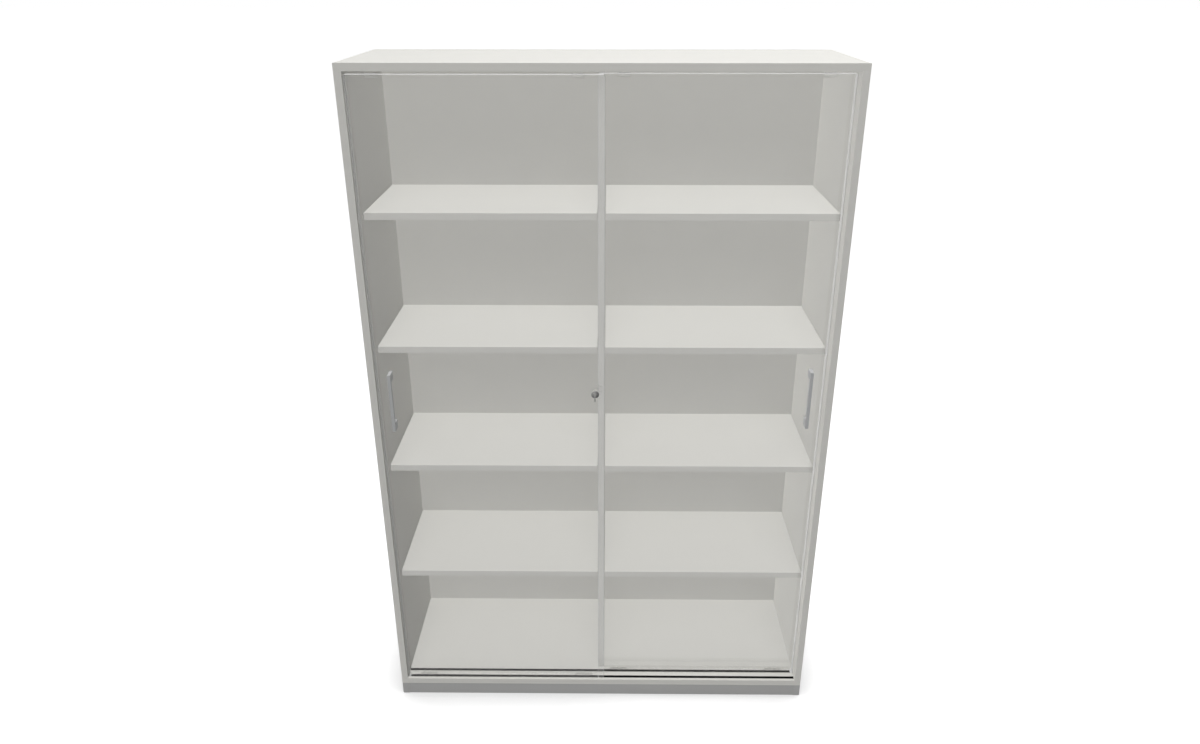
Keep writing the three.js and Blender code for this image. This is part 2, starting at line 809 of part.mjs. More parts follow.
// A countersunk screw along +X with its head flush in the plate, and its hole
function countersunk(lead, gap) {
  const mouth = [0, strikeHeadRadius + gap].map((radius) => [radius, -lead]);
  const profile = [
    ...(lead ? mouth : [[0, 0]]),
    [strikeHeadRadius + gap, 0],
    [strikeScrewRadius + gap, strikeThickness],
    [strikeScrewRadius + gap, strikeScrewLength + gap],
    [0, strikeScrewLength + gap],
  ];
  return aimed(turned(profile, smallRoundSides), "x").translate(strikeX - strikeThickness, 0, 0);
}

const strikeScrews = () =>
  strikeScrewHeights.map((z) => countersunk(0, 0).translate(0, strikeScrewY, z));
const strikeScrewHoles = () =>
  strikeScrewHeights.map((z) => countersunk(overrun, seatGap).translate(0, strikeScrewY, z));

function addStrike() {
  const half = strikeHeight / 2;
  const plate = block(
    [strikeX - strikeThickness, strikeFrontY, lockHeight - half],
    [strikeX, rearDoorY + strikeCover, lockHeight + half],
  );
  add("strike_plate", cut(plate, strikeScrewHoles()), zincPlate());
  strikeScrews().forEach((screw, i) => add(`strike_screw_${i + 1}`, screw, zincPlate()));
}

addPlinth();
addPlinthAngles();
addPanels();
addShelves();
addChannels();
addDoor("left", [lockBore()]);
addDoor("right", strikeScrewHoles());
addStops();
addHandle("left");
addHandle("right");
addLock();
addStrike();

export default cabinet;
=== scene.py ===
"""Looks of a sliding door cabinet: white melamine boards on a grey plinth, two clear doors in
black tracks, silver handles, and a push lock with its key. Metres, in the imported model's frame."""
import json
import math

import bpy
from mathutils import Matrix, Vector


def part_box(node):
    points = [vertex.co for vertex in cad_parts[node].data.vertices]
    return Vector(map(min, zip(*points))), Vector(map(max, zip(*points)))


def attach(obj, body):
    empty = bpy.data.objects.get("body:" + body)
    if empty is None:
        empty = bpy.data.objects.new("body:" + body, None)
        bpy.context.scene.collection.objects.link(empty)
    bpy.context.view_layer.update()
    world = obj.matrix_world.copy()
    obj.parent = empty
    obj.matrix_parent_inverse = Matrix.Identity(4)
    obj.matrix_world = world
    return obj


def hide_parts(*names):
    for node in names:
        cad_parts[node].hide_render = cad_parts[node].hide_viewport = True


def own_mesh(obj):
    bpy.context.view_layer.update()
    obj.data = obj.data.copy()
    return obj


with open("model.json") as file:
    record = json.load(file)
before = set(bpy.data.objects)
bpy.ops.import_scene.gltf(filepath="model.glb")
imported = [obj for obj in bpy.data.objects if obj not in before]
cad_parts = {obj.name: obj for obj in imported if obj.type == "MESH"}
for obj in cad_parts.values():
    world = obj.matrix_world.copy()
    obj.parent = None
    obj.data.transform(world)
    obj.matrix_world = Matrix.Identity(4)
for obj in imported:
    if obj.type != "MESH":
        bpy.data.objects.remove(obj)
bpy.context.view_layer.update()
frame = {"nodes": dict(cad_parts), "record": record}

MM = 0.001
SLOTS = {part["node"]: part["material_slot"] for part in frame["record"]["subparts"]}
scene = bpy.context.scene


def linear(code):
    """An sRGB hex colour as linear red, green and blue, with full alpha."""
    parts = [int(code[i:i + 2], 16) / 255 for i in (0, 2, 4)]
    return (*(v / 12.92 if v <= 0.04045 else ((v + 0.055) / 1.055) ** 2.4 for v in parts), 1)


# Camera: found by fitting the cabinet's corners in the 1200 x 744 photograph
IMAGE_WIDTH = 1200
FOCAL_PIXELS = 900.24
SENSOR_WIDTH = 36
CAMERA_PLACE = (16.1 * MM, -2305.2 * MM, 1998.1 * MM)
CAMERA_TILT = -0.416
CAMERA_TURN = -0.009
NEAREST_SEEN = 0.05
FARTHEST_SEEN = 200


def add_camera():
    data = bpy.data.cameras.new("camera")
    data.sensor_width = SENSOR_WIDTH
    data.lens = FOCAL_PIXELS * SENSOR_WIDTH / IMAGE_WIDTH
    data.clip_start = NEAREST_SEEN
    data.clip_end = FARTHEST_SEEN
    camera = bpy.data.objects.new("camera", data)
    camera.location = CAMERA_PLACE
    camera.rotation_euler = (math.pi / 2 + CAMERA_TILT, 0, -CAMERA_TURN)
    scene.collection.objects.link(camera)
    scene.camera = camera


# Node helpers. A Mix node has several sockets of the same name, so these give their places.
FIRST_NUMBER, SECOND_NUMBER, MIXED_NUMBER = 2, 3, 0
FIRST_COLOUR, SECOND_COLOUR, MIXED_COLOUR = 6, 7, 2


def node(tree, kind, settings=None, links=None):
    """Adds a node, sets its properties or socket values, and links its inputs."""
    made = tree.nodes.new(kind)
    for name, value in (settings or {}).items():
        if isinstance(name, str) and hasattr(made, name):
            setattr(made, name, value)
        else:
            made.inputs[name].default_value = value
    for name, source in (links or {}).items():
        tree.links.new(source, made.inputs[name])
    return made


def new_material(name):
    material = bpy.data.materials.new(name)
    material.use_nodes = True
    tree = material.node_tree
    tree.nodes.clear()
    output = tree.nodes.new("ShaderNodeOutputMaterial")
    return material, tree, output


def per_mm(size):
    """Noise scale of a pattern whose cells are so many millimetres wide."""
    return 1 / (size * MM)


# Floor, world and lamps. The camera sees a white floor and a white room, also mirrored and through
# the doors, but they throw much less light than that on the cabinet.
FLOOR_SIZE = 120
FLOOR_DROP = 0.05 * MM
FLOOR_GLOW = 0.67
# Painted shade under the plinth: how much of the floor's light it takes at most, and how far it
# reaches in metres
FLOOR_SHADE = 0.9
FLOOR_SHADE_REACH = 0.17
WORLD_LIGHT = 0.067
# Suns: height and turn from the front in degrees, strength, spread in degrees, whether it casts
# shadows, and how often its light bounces. The strengths of right and back are given one by one. The
# others, the power of the lamps above and the world's light come from a fit to the tones in the
# photograph, so they suit this view of this cabinet.
SUNS = {
    "left": (0, -90, 1.36, 40, False, 0),
    "front": (0, 0, 0.67, 40, False, 8),
    "front_high": (45, 0, 0.475, 40, True, 0),
    "sky": (90, 0, 0.536, 40, False, 0),
    "right": (0, 112, 0.9, 20, True, 0),
    "back": (0, 180, 1.2, 20, True, 0),
}
# Soft lamps above, which fade downwards: place in metres and power in watts
ABOVE_LAMPS = {"above": ((0.5, -1.0, 6.0), 343), "above_near": ((1.0, 0.0, 4.0), 35.5)}
ABOVE_RADIUS = 0.6


def seen_ray(tree):
    """1 for what the camera sees, straight or in a mirror or through glass."""
    path = tree.nodes.new("ShaderNodeLightPath").outputs
    pair = node(tree, "ShaderNodeMath", {"operation": "MAXIMUM"},
                {0: path["Is Camera Ray"], 1: path["Is Glossy Ray"]})
    seen = node(tree, "ShaderNodeMath", {"operation": "MAXIMUM"},
                {0: pair.outputs[0], 1: path["Is Transmission Ray"]})
    return seen.outputs[0]


def add_world():
    world = bpy.data.worlds.new("studio")
    world.use_nodes = True
    tree = world.node_tree
    tree.nodes.clear()
    strength = node(tree, "ShaderNodeMapRange", {"To Min": WORLD_LIGHT, "To Max": 1.0},
                    {"Value": seen_ray(tree)})
    room = node(tree, "ShaderNodeBackground", {"Color": linear("FFFFFF")},
                {"Strength": strength.outputs[0]})
    node(tree, "ShaderNodeOutputWorld", {}, {"Surface": room.outputs[0]})
    scene.world = world


def add_suns():
    """Wide suns from all sides. The level ones are kept out of the mirror of the clear doors."""
    for name, (height, turn, strength, spread, shadow, bounces) in SUNS.items():
        data = bpy.data.lights.new(name, "SUN")
        data.energy = strength
        data.angle = math.radians(spread)
        data.use_shadow = shadow
        data.cycles.max_bounces = bounces
        lamp = bpy.data.objects.new(name, data)
        lamp.rotation_euler = (math.radians(90 - height), 0, math.radians(turn))
        lamp.visible_glossy = height > 0
        scene.collection.objects.link(lamp)


def add_lamps_above():
    for name, (place, power) in ABOVE_LAMPS.items():
        data = bpy.data.lights.new(name, "POINT")
        data.energy = power
        data.shadow_soft_size = ABOVE_RADIUS
        data.use_shadow = False
        data.cycles.max_bounces = 0
        lamp = bpy.data.objects.new(name, data)
        lamp.location = place
        lamp.visible_glossy = False
        scene.collection.objects.link(lamp)


def floor_paint():
    """Matt white studio floor: it shows white to the camera, and a painted shade darkens its colour
    and glow softly under the plinth.
    """
    material, tree, output = new_material("matt_white_floor")
    open_sky = node(tree, "ShaderNodeAmbientOcclusion", {"Distance": FLOOR_SHADE_REACH})
    shade = node(tree, "ShaderNodeMapRange", {"To Min": 1 - FLOOR_SHADE, "To Max": 1.0},
                 {"Value": open_sky.outputs["AO"]}).outputs[0]
    colour = node(tree, "ShaderNodeMix", {"data_type": "RGBA", FIRST_COLOUR: linear("000000"),
                                          SECOND_COLOUR: linear("F2F2F2")}, {"Factor": shade})
    matt = node(tree, "ShaderNodeBsdfDiffuse", {}, {"Color": colour.outputs[MIXED_COLOUR]})
    strength = node(tree, "ShaderNodeMath", {"operation": "MULTIPLY", 1: FLOOR_GLOW},
                    {0: seen_ray(tree)})
    shaded = node(tree, "ShaderNodeMath", {"operation": "MULTIPLY"},
                  {0: strength.outputs[0], 1: shade})
    glow = node(tree, "ShaderNodeEmission", {"Color": linear("FFFFFF")},
                {"Strength": shaded.outputs[0]})
    both = node(tree, "ShaderNodeAddShader", {}, {0: matt.outputs[0], 1: glow.outputs[0]})
    tree.links.new(both.outputs[0], output.inputs["Surface"])
    return material


def add_floor():
    bpy.ops.object.select_all(action="DESELECT")
    bpy.ops.mesh.primitive_plane_add(size=FLOOR_SIZE, location=(0, 0, -FLOOR_DROP))
    floor = bpy.context.object
    floor.name = "studio_floor"
    floor.data.materials.append(floor_paint())


# Materials: sizes of their patterns in millimetres. All but the cloud are drawn coarser than the
# real ones, which are too fine to show.
BOARD_CLOUD = 60
BOARD_PEARL = 1.2
LAMINATE_SPECKLE = 2.5
PLASTIC_GRAIN = 0.8
ZINC_CRYSTALS = 1.5
LACQUER_FLAKE = 0.6
TURNING_LINES = 0.4
# Thickness of a board, and how far from its face a pin's colour starts
BOARD = 18 * MM
PIN_START = 0.2 * MM


def melamine_board(name, inner=None, way=0):
    """Chipboard faced with white melamine: satin, with a faint pearl grain. Where the place of an
    inner face is given, as its distance from the cabinet's middle, what stands out of that face is
    a zinc plated shelf pin: away from the middle for way 1, towards it for way -1."""
    material, tree, output = new_material(name)
    place = node(tree, "ShaderNodeTexCoord").outputs["Object"]
    cloud = node(tree, "ShaderNodeTexNoise", {"Scale": per_mm(BOARD_CLOUD), "Detail": 3.0},
                 {"Vector": place})
    colour = node(tree, "ShaderNodeMix", {"data_type": "RGBA", FIRST_COLOUR: linear("E6E5E0"),
                                          SECOND_COLOUR: linear("EAE9E4")},
                  {"Factor": cloud.outputs["Fac"]}).outputs[MIXED_COLOUR]
    pearl = node(tree, "ShaderNodeTexNoise", {"Scale": per_mm(BOARD_PEARL), "Detail": 4.0},
                 {"Vector": place}).outputs["Fac"]
    rough = node(tree, "ShaderNodeMapRange", {"To Min": 0.55, "To Max": 0.65},
                 {"Value": pearl}).outputs[0]
    bump = node(tree, "ShaderNodeBump", {"Strength": 0.05, "Distance": 0.05 * MM},
                {"Height": pearl})
    shader = node(tree, "ShaderNodeBsdfPrincipled", {"Specular IOR Level": 0.2},
                  {"Base Color": colour, "Roughness": rough, "Normal": bump.outputs[0]})
    tree.links.new(shader.outputs[0], output.inputs["Surface"])
    if inner is not None:
        apart = node(tree, "ShaderNodeSeparateXYZ", {}, {0: place})
        across = node(tree, "ShaderNodeMath", {"operation": "ABSOLUTE"}, {0: apart.outputs["X"]})
        beyond = "GREATER_THAN" if way > 0 else "LESS_THAN"
        pin = node(tree, "ShaderNodeMath", {"operation": beyond, 1: inner + way * PIN_START},
                   {0: across.outputs[0]}).outputs[0]
        zinc = node(tree, "ShaderNodeMix", {"data_type": "RGBA", SECOND_COLOUR: linear("BDBBB4")},
                    {"Factor": pin, FIRST_COLOUR: colour})
        shine = node(tree, "ShaderNodeMix", {"data_type": "FLOAT", SECOND_NUMBER: 0.35},
                     {"Factor": pin, FIRST_NUMBER: rough})
        tree.links.new(zinc.outputs[MIXED_COLOUR], shader.inputs["Base Color"])
        tree.links.new(shine.outputs[MIXED_NUMBER], shader.inputs["Roughness"])
        tree.links.new(pin, shader.inputs["Metallic"])
    return material


def plinth_laminate():
    """Grey laminate on the plinth rails: matt, with a fine speckle."""
    material, tree, output = new_material("grey_plinth_laminate")
    place = node(tree, "ShaderNodeTexCoord").outputs["Object"]
    speckle = node(tree, "ShaderNodeTexNoise", {"Scale": per_mm(LAMINATE_SPECKLE), "Detail": 5.0},
                   {"Vector": place}).outputs["Fac"]
    colour = node(tree, "ShaderNodeMix", {"data_type": "RGBA", FIRST_COLOUR: linear("BDBDBC"),
                                          SECOND_COLOUR: linear("C3C3C2")}, {"Factor": speckle})
    bump = node(tree, "ShaderNodeBump", {"Strength": 0.06, "Distance": 0.05 * MM},
                {"Height": speckle})
    shader = node(tree, "ShaderNodeBsdfPrincipled", {"Roughness": 0.6, "Specular IOR Level": 0.3},
                  {"Base Color": colour.outputs[MIXED_COLOUR], "Normal": bump.outputs[0]})
    tree.links.new(shader.outputs[0], output.inputs["Surface"])
    return material


# Clear parts: refraction of acrylic with its hard coat, how dense a sawn edge and a guide's pocket
# look, how far they reach from the door's rim, how straight to the front a surface looks before it
# counts as a face, and how much the guides mirror beside the doors
COATED_IOR = 1.62
EDGE_ALPHA = 0.8
EDGE_REACH = 0.7 * MM
CORNER_REACH = 6 * MM
EDGE_FACING = 0.9
POCKET_ALPHA = 0.9
POCKET_REACH = 1.0 * MM
GUIDE_MIRROR = 0.35


def mirror_strength(tree):
    """How much a clear sheet mirrors, the same from both of its sides."""
    side = tree.nodes.new("ShaderNodeNewGeometry").outputs["Backfacing"]
    ior = node(tree, "ShaderNodeMix", {"data_type": "FLOAT", FIRST_NUMBER: COATED_IOR,
                                       SECOND_NUMBER: 1 / COATED_IOR}, {"Factor": side})
    return node(tree, "ShaderNodeFresnel", {}, {"IOR": ior.outputs[MIXED_NUMBER]}).outputs[0]


def clear_acrylic(name, painted_edge_code):
    """Cast acrylic sheet with a hard coat: clear faces that mirror the white room faintly, and
    sawn edges drawn as pale lines. At the outer side the edge has the given tone instead: painted
    light on one door and painted shade on the other."""
    material, tree, output = new_material(name)
    low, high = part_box("door_left")
    coordinates = tree.nodes.new("ShaderNodeTexCoord").outputs
    place = node(tree, "ShaderNodeSeparateXYZ", {}, {0: coordinates["Object"]}).outputs
    facing = node(tree, "ShaderNodeSeparateXYZ", {}, {0: coordinates["Normal"]}).outputs
    across = node(tree, "ShaderNodeMath", {"operation": "ABSOLUTE"}, {0: place["X"]}).outputs[0]
    flat = node(tree, "ShaderNodeMath", {"operation": "ABSOLUTE"}, {0: facing["Y"]}).outputs[0]
    top = node(tree, "ShaderNodeMath", {"operation": "COMPARE", 1: high.z, 2: EDGE_REACH},
               {0: place["Z"]}).outputs[0]
    inner = node(tree, "ShaderNodeMath", {"operation": "COMPARE", 1: high.x, 2: EDGE_REACH},
                 {0: across}).outputs[0]
    outer = node(tree, "ShaderNodeMath", {"operation": "GREATER_THAN", 1: -low.x - CORNER_REACH},
                 {0: across}).outputs[0]
    white = node(tree, "ShaderNodeMath", {"operation": "MAXIMUM"}, {0: top, 1: inner}).outputs[0]
    rim_zone = node(tree, "ShaderNodeMath", {"operation": "MAXIMUM"}, {0: white, 1: outer})
    sawn = node(tree, "ShaderNodeMath", {"operation": "LESS_THAN", 1: EDGE_FACING}, {0: flat})
    edge = node(tree, "ShaderNodeMath", {"operation": "MULTIPLY"},
                {0: rim_zone.outputs[0], 1: sawn.outputs[0]}).outputs[0]
    alpha = node(tree, "ShaderNodeMix", {"data_type": "FLOAT", SECOND_NUMBER: EDGE_ALPHA},
                 {"Factor": edge, FIRST_NUMBER: mirror_strength(tree)})
    # The outer edge's given tone is painted light and shade; the top and inner edges are pale
    tone = node(tree, "ShaderNodeMix", {"data_type": "RGBA", FIRST_COLOUR: linear(painted_edge_code),
                                        SECOND_COLOUR: linear("F0F0EF")}, {"Factor": white})
    colour = node(tree, "ShaderNodeMix", {"data_type": "RGBA", FIRST_COLOUR: linear("FBFBFA")},
                  {"Factor": edge, SECOND_COLOUR: tone.outputs[MIXED_COLOUR]})
    metal = node(tree, "ShaderNodeMath", {"operation": "SUBTRACT", 0: 1.0}, {1: edge})
    shader = node(tree, "ShaderNodeBsdfPrincipled", {"Roughness": 0.03, "Specular IOR Level": 0.0},
                  {"Base Color": colour.outputs[MIXED_COLOUR], "Metallic": metal.outputs[0],
                   "Alpha": alpha.outputs[MIXED_NUMBER]})
    tree.links.new(shader.outputs[0], output.inputs["Surface"])
    return material


def clear_polycarbonate():
    """Clear moulded plastic of glides, guides and handle screws: a faint mirror on an almost unseen
    body. At the door's top edge a guide fills its pocket, so there it is as pale as the edge."""
    material, tree, output = new_material("clear_polycarbonate")
    place = node(tree, "ShaderNodeTexCoord").outputs["Object"]
    apart = node(tree, "ShaderNodeSeparateXYZ", {}, {0: place})
    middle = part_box("door_left")[1].z + POCKET_REACH / 2
    pocket = node(tree, "ShaderNodeMath", {"operation": "COMPARE", 1: middle, 2: POCKET_REACH},
                  {0: apart.outputs["Z"]}).outputs[0]
    faint = node(tree, "ShaderNodeMath", {"operation": "MULTIPLY", 1: GUIDE_MIRROR},
                 {0: mirror_strength(tree)})
    alpha = node(tree, "ShaderNodeMix", {"data_type": "FLOAT", SECOND_NUMBER: POCKET_ALPHA},
                 {"Factor": pocket, FIRST_NUMBER: faint.outputs[0]})
    metal = node(tree, "ShaderNodeMath", {"operation": "SUBTRACT", 0: 1.0}, {1: pocket})
    shader = node(tree, "ShaderNodeBsdfPrincipled",
                  {"Roughness": 0.12, "Base Color": linear("F5F5F4")},
                  {"Metallic": metal.outputs[0], "Alpha": alpha.outputs[MIXED_NUMBER]})
    tree.links.new(shader.outputs[0], output.inputs["Surface"])
    return material


def track_plastic():
    """Black moulded plastic of the door tracks and stops: even and matt, with a moulded grain."""
    material, tree, output = new_material("black_track_plastic")
    place = node(tree, "ShaderNodeTexCoord").outputs["Object"]
    grain = node(tree, "ShaderNodeTexNoise", {"Scale": per_mm(PLASTIC_GRAIN), "Detail": 3.0},
                 {"Vector": place})
    bump = node(tree, "ShaderNodeBump", {"Strength": 0.1, "Distance": 0.03 * MM},
                {"Height": grain.outputs["Fac"]})
    shader = node(tree, "ShaderNodeBsdfPrincipled",
                  {"Roughness": 0.6, "Base Color": linear("121212")}, {"Normal": bump.outputs[0]})
    tree.links.new(shader.outputs[0], output.inputs["Surface"])
    return material


def zinc_plate():
    """Zinc plated steel of screws, angles, bolt and strike plate: pale, clouded by its crystals."""
    material, tree, output = new_material("zinc_plated_steel")
    place = node(tree, "ShaderNodeTexCoord").outputs["Object"]
    crystals = node(tree, "ShaderNodeTexNoise", {"Scale": per_mm(ZINC_CRYSTALS), "Detail": 3.0},
                    {"Vector": place}).outputs["Fac"]
    rough = node(tree, "ShaderNodeMapRange", {"To Min": 0.3, "To Max": 0.42}, {"Value": crystals})
    bump = node(tree, "ShaderNodeBump", {"Strength": 0.05, "Distance": 0.02 * MM},
                {"Height": crystals})
    shader = node(tree, "ShaderNodeBsdfPrincipled",
                  {"Metallic": 0.6, "Base Color": linear("CFCEC8")},
                  {"Roughness": rough.outputs[0], "Normal": bump.outputs[0]})
    tree.links.new(shader.outputs[0], output.inputs["Surface"])
    return material


def silver_lacquer():
    """Aluminium handles sprayed with silver lacquer: an even matt grey with a fine flake, which
    shows each face by its light alone."""
    material, tree, output = new_material("silver_lacquered_aluminium")
    place = node(tree, "ShaderNodeTexCoord").outputs["Object"]
    flake = node(tree, "ShaderNodeTexNoise", {"Scale": per_mm(LACQUER_FLAKE), "Detail": 4.0},
                 {"Vector": place}).outputs["Fac"]
    colour = node(tree, "ShaderNodeMix", {"data_type": "RGBA", FIRST_COLOUR: linear("C3C4C5"),
                                          SECOND_COLOUR: linear("CBCCCD")}, {"Factor": flake})
    rough = node(tree, "ShaderNodeMapRange", {"To Min": 0.5, "To Max": 0.6}, {"Value": flake})
    bump = node(tree, "ShaderNodeBump", {"Strength": 0.08, "Distance": 0.02 * MM},
                {"Height": flake})
    shader = node(tree, "ShaderNodeBsdfPrincipled", {"Specular IOR Level": 0.12},
                  {"Base Color": colour.outputs[MIXED_COLOUR], "Roughness": rough.outputs[0],
                   "Normal": bump.outputs[0]})
    tree.links.new(shader.outputs[0], output.inputs["Surface"])
    return material


# Nickel: how far the painted sheen, a painted highlight fading to painted shade, runs from the
# lock's middle, in widths of its flange, and where the bare tube starts behind the door's front
PAINTED_SHEEN_REACH = 0.55
BARE_START = 0.05 * MM


def satin_nickel(name, painted_shade_code, painted_light_code, bare_code=None):
    """Die cast lock parts, turned and plated with satin nickel, with fine turning lines in the
    roughness and a painted highlight at the upper left of the face that falls off to painted shade
    at the lower right. Where a tone is given for it, the tube behind the flange is bare pale
    casting, so it hardly shows through the clear door."""
    material, tree, output = new_material(name)
    low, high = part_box("lock_sleeve")
    middle = ((low.x + high.x) / 2, 0, (low.z + high.z) / 2)
    slope = 1 / (high.x - low.x)
    place = node(tree, "ShaderNodeTexCoord").outputs["Object"]
    offset = node(tree, "ShaderNodeVectorMath", {"operation": "SUBTRACT", 1: middle}, {0: place})
    upwards = node(tree, "ShaderNodeVectorMath",
                   {"operation": "DOT_PRODUCT", 1: (-slope, 0, slope)}, {0: offset.outputs[0]})
    # Painted highlight and painted shade: light at the upper left of the lock, dark at the lower
    # right
    painted_sheen = node(tree, "ShaderNodeMapRange", {"From Min": -PAINTED_SHEEN_REACH, "From Max": PAINTED_SHEEN_REACH},
                 {"Value": upwards.outputs["Value"]})
    colour = node(tree, "ShaderNodeMix", {"data_type": "RGBA", FIRST_COLOUR: linear(painted_shade_code),
                                          SECOND_COLOUR: linear(painted_light_code)},
                  {"Factor": painted_sheen.outputs[0]})
    if bare_code:
        apart = node(tree, "ShaderNodeSeparateXYZ", {}, {0: place})
        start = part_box("door_left")[0].y + BARE_START
        behind = node(tree, "ShaderNodeMath", {"operation": "GREATER_THAN", 1: start},
                      {0: apart.outputs["Y"]})
        bare = {"data_type": "RGBA", SECOND_COLOUR: linear(bare_code)}
        colour = node(tree, "ShaderNodeMix", bare,
                      {"Factor": behind.outputs[0], FIRST_COLOUR: colour.outputs[MIXED_COLOUR]})
    lines = node(tree, "ShaderNodeTexNoise", {"Scale": per_mm(TURNING_LINES), "Detail": 3.0},
                 {"Vector": place})
    rough = node(tree, "ShaderNodeMapRange", {"To Min": 0.28, "To Max": 0.36},
                 {"Value": lines.outputs["Fac"]})
    shader = node(tree, "ShaderNodeBsdfPrincipled", {"Metallic": 0.08, "Specular IOR Level": 0.25},
                  {"Base Color": colour.outputs[MIXED_COLOUR], "Roughness": rough.outputs[0]})
    tree.links.new(shader.outputs[0], output.inputs["Surface"])
    return material


# Pieces modelled here: the lock's face and key, and the screws of the strike plate. Widths of
# their broken edges are in mm.
ROUND_SIDES = 64
RIM_STEPS = 8
EDGE_SEGMENTS = 2
MERGE_REACH = 0.002 * MM
SIDE_FACING = 0.9
TURNED_EDGE = 0.1
CUT_EDGE = 0.12
SCREW_EDGE = 0.05
SHARP_PIECE_EDGE = math.radians(40)
SMOOTH_UNDER = math.radians(35)


def millimetres(*values):
    return tuple(value * MM for value in values)


def alone(add, name, **settings):
    """Adds a primitive with nothing else selected, and names it."""
    bpy.ops.object.select_all(action="DESELECT")
    add(**settings)
    piece = bpy.context.object
    piece.name = name
    return piece


def turned(name, profile, x, z):
    """A form turned about a line along Y: the profile gives radius and place along Y, in mm."""
    piece = alone(bpy.ops.mesh.primitive_plane_add, name, size=MM, location=(0, 0, 0))
    bpy.ops.object.mode_set(mode="EDIT")
    bpy.ops.mesh.select_mode(type="VERT")
    bpy.ops.mesh.merge(type="CENTER")
    radius, along = profile[0]
    bpy.ops.transform.translate(value=(x + radius * MM, along * MM, z))
    for (radius, along), (next_radius, next_along) in zip(profile, profile[1:]):
        step = millimetres(next_radius - radius, next_along - along, 0)
        bpy.ops.mesh.extrude_region_move(TRANSFORM_OT_translate={"value": step})
    bpy.ops.mesh.select_all(action="SELECT")
    bpy.ops.mesh.spin(steps=ROUND_SIDES, angle=2 * math.pi, center=(x, 0, z), axis=(0, 1, 0))
    close_up()
    return piece


def close_up():
    """Merges the doubled points of the active piece and turns its faces outwards."""
    bpy.ops.object.mode_set(mode="EDIT")
    bpy.ops.mesh.select_all(action="SELECT")
    bpy.ops.mesh.remove_doubles(threshold=MERGE_REACH)
    bpy.ops.mesh.normals_make_consistent(inside=False)
    bpy.ops.object.mode_set(mode="OBJECT")


def pick_sides(piece):
    """Selects the flat left and right faces of a piece, and stays in edit mode."""
    bpy.ops.object.mode_set(mode="EDIT")
    bpy.ops.mesh.select_all(action="DESELECT")
    bpy.ops.mesh.select_mode(type="FACE")
    bpy.ops.object.mode_set(mode="OBJECT")
    for face in piece.data.polygons:
        face.select = abs(face.normal.x) > SIDE_FACING
    bpy.ops.object.mode_set(mode="EDIT")


def sink_sides(piece, border, slope, deep):
    """Sinks the left and right faces of a piece inside a border, all in mm."""
    pick_sides(piece)
    bpy.ops.mesh.inset(thickness=border * MM, depth=0)
    bpy.ops.mesh.inset(thickness=slope * MM, depth=-deep * MM)
    bpy.ops.object.mode_set(mode="OBJECT")


def apply_all(piece):
    bpy.ops.object.select_all(action="DESELECT")
    piece.select_set(True)
    bpy.context.view_layer.objects.active = piece
    bpy.ops.object.transform_apply(location=True, rotation=True, scale=True)
    for modifier in list(piece.modifiers):
        bpy.ops.object.modifier_apply(modifier=modifier.name)


def combine(piece, other, operation):
    """Joins another form to a piece or cuts it out, and removes the other."""
    boolean = piece.modifiers.new("combine", "BOOLEAN")
    boolean.operation = operation
    boolean.object = other
    boolean.solver = "EXACT"
    apply_all(piece)
    bpy.data.objects.remove(other)


def bevel_edges(piece, width, sharp):
    """Breaks the edges that are sharper than an angle, to a width in mm."""
    bevel = piece.modifiers.new("edges", "BEVEL")
    bevel.width = width * MM
    bevel.segments = EDGE_SEGMENTS
    bevel.limit_method = "ANGLE"
    bevel.angle_limit = sharp


def finish_piece(piece, material, replaced, body, edge):
    """Breaks the sharp edges, shades the piece, keeps it out of the doors' mirror as in the
    photograph, and lets it stand for a CAD node."""
    bevel_edges(piece, edge, SHARP_PIECE_EDGE)
    apply_all(piece)
    close_up()
    bpy.ops.object.shade_smooth_by_angle(angle=SMOOTH_UNDER)
    piece.data.materials.clear()
    piece.data.materials.append(material)
    piece.visible_glossy = False
    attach(piece, body)
    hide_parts(replaced)


def rim(radius, front, inwards, back):
    """Profile points of a rounded rim, from the front face back to the full radius, in mm."""
    angles = [math.pi / 2 * i / RIM_STEPS for i in range(RIM_STEPS + 1)]
    return [(radius - inwards * (1 - math.sin(angle)), front + back * (1 - math.cos(angle)))
            for angle in angles]


def lock_sleeve(finish, x, z):
    """Sleeve of the push lock: a domed flange in front of the door, and a grooved tube in it."""
    low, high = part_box("lock_sleeve")
    front, back = low.y / MM, high.y / MM
    flange = (high.x - low.x) / 2 / MM
    lip, tube, bore, bolt_bore = 6.7, 8.5, 7.5, 4.3
    dome, flange_thick, lip_long, wall = 3.0, 2.0, 3.0, 2.0
    groove_apart, groove_deep = 3.0, 0.4
    groove = ((tube, 0), (tube - groove_deep, groove_deep), (tube, 2 * groove_deep))
    profile = [
        (lip, front),
        *rim(flange, front, dome, flange_thick),
        (tube, front + flange_thick),
        *[(radius, back - groove_apart * number + step)
          for number in (4, 3, 2, 1) for radius, step in groove],
        (tube, back),
        (bolt_bore, back),
        (bolt_bore, back - wall),
        (bore, back - wall),
        (bore, front + lip_long),
        (lip, front + lip_long),
        (lip, front),
    ]
    piece = turned("push_lock_sleeve", profile, x, z)
    finish_piece(piece, finish, "lock_sleeve", "left_door", TURNED_EDGE)


